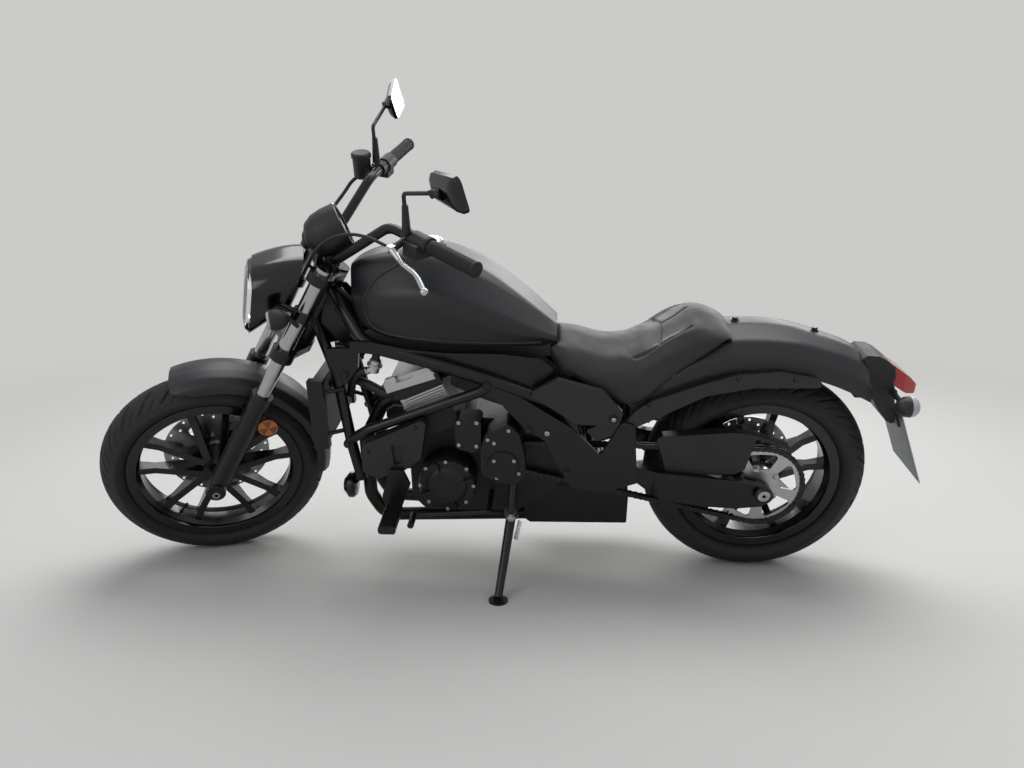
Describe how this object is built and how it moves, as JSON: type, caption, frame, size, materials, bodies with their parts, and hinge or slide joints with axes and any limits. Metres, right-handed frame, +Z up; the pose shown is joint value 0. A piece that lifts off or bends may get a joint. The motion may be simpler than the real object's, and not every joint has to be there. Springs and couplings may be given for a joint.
{
  "type": "cruiser motorcycle",
  "caption": "Cruiser motorcycle parked on its side stand, bars turned left, with turning wheels, steering, folding stand and hinged fuel cap.",
  "frame": {"origin": "middle of the footprint of the parked motorcycle, on the floor", "axes": "+X towards the rear of the motorcycle, +Y towards its right side, +Z up"},
  "size_m": [2.306, 0.865, 1.4008],
  "materials": {
    "alloy": "machined and clear-coated aluminium",
    "black_alloy": "black painted aluminium castings",
    "black_plastic": "grained black plastic",
    "chain_steel": "oiled steel",
    "clear_lens": "clear polycarbonate",
    "disc_steel": "ground stainless steel",
    "exhaust_steel": "heat-tinted and black coated steel",
    "fork_chrome": "hard chrome",
    "frame_black": "satin black powder coat",
    "gloss_shell": "gloss black plastic",
    "grip_rubber": "moulded rubber",
    "mirror_glass": "silvered glass",
    "plate_white": "blank reflective plate",
    "red_lens": "red lamp lens",
    "satin_paint": "satin metallic charcoal paint",
    "seat_cover": "dark grey synthetic leather",
    "tyre_rubber": "worn tyre rubber",
    "wheel_black": "gloss black enamel"
  },
  "bodies": {
    "chassis": {"frame": "frame_black", "engine_case": "black_alloy", "engine_cylinders": "black_alloy", "cylinder_fins": "alloy", "head_cover": "alloy", "engine_covers": "black_alloy", "chain": "chain_steel", "swingarm": "frame_black", "rear_axle": "disc_steel", "sprocket_cover": "black_plastic", "chain_guard": "black_plastic", "rear_shock": "frame_black", "radiator": "black_alloy", "lower_cowl": "black_plastic", "coolant_hose": "grip_rubber", "header_pipes": "exhaust_steel", "silencer": "exhaust_steel", "air_box": "black_plastic", "fuel_tank": "satin_paint", "rear_fender": "satin_paint", "fender_rails": "frame_black", "seat": "seat_cover", "side_covers": "satin_paint", "tail_housing": "black_plastic", "tail_lens": "red_lens", "rear_indicators": "gloss_shell", "number_plate": "plate_white", "foot_pegs": "grip_rubber", "foot_controls": "frame_black", "horn": "black_plastic", "stand_bracket": "frame_black", "rear_caliper": "frame_black"},
    "fuel_lid": {"fuel_cap": "alloy"},
    "side_stand": {"side_stand": "frame_black"},
    "rear_wheel": {"rear_rim": "wheel_black", "rear_tyre": "tyre_rubber", "rear_disc": "disc_steel", "rear_sprocket": "alloy"},
    "front_wheel": {"front_rim": "wheel_black", "front_tyre": "tyre_rubber", "front_disc": "disc_steel"},
    "steering": {"fork_sliders": "frame_black", "fork_stanchions": "fork_chrome", "lower_yoke": "frame_black", "handlebar": "frame_black", "upper_yoke": "frame_black", "front_axle": "disc_steel", "front_caliper": "frame_black", "front_fender": "satin_paint", "headlight_shell": "gloss_shell", "headlight_lens": "clear_lens", "meter_pod": "gloss_shell", "grips": "grip_rubber", "switch_housings": "black_plastic", "levers": "alloy", "mirror_heads": "black_plastic", "mirror_glass": "mirror_glass", "mirror_stems": "frame_black", "front_indicators": "gloss_shell", "control_cables": "grip_rubber"}
  },
  "joints": [
    {"name": "steering", "type": "hinge", "parent": "chassis", "child": "steering", "pos_m": [-0.48975, 0.00467, 0.79753], "axis": [0.5114, -0.1621, 0.8439], "range_deg": [-57.2, 12.8]},
    {"name": "front_wheel_spin", "type": "hinge", "parent": "steering", "child": "front_wheel", "pos_m": [-0.85419, 0.07875, 0.29517], "axis": [-0.3255, 0.8724, 0.3648], "continuous": true},
    {"name": "rear_wheel_spin", "type": "hinge", "parent": "chassis", "child": "rear_wheel", "pos_m": [0.71708, 0.09998, 0.30785], "axis": [-0.0008, 0.982, 0.1891], "continuous": true},
    {"name": "side_stand_fold", "type": "hinge", "parent": "chassis", "child": "side_stand", "pos_m": [0.03002, -0.0337, 0.20579], "axis": [-0.1087, -0.8458, 0.5222], "range_deg": [0, 82.2]},
    {"name": "fuel_cap_hinge", "type": "hinge", "parent": "chassis", "child": "fuel_lid", "pos_m": [-0.23725, -0.02577, 0.9567], "axis": [0.0008, -0.982, -0.1891], "range_deg": [0, 95]}
  ]
}
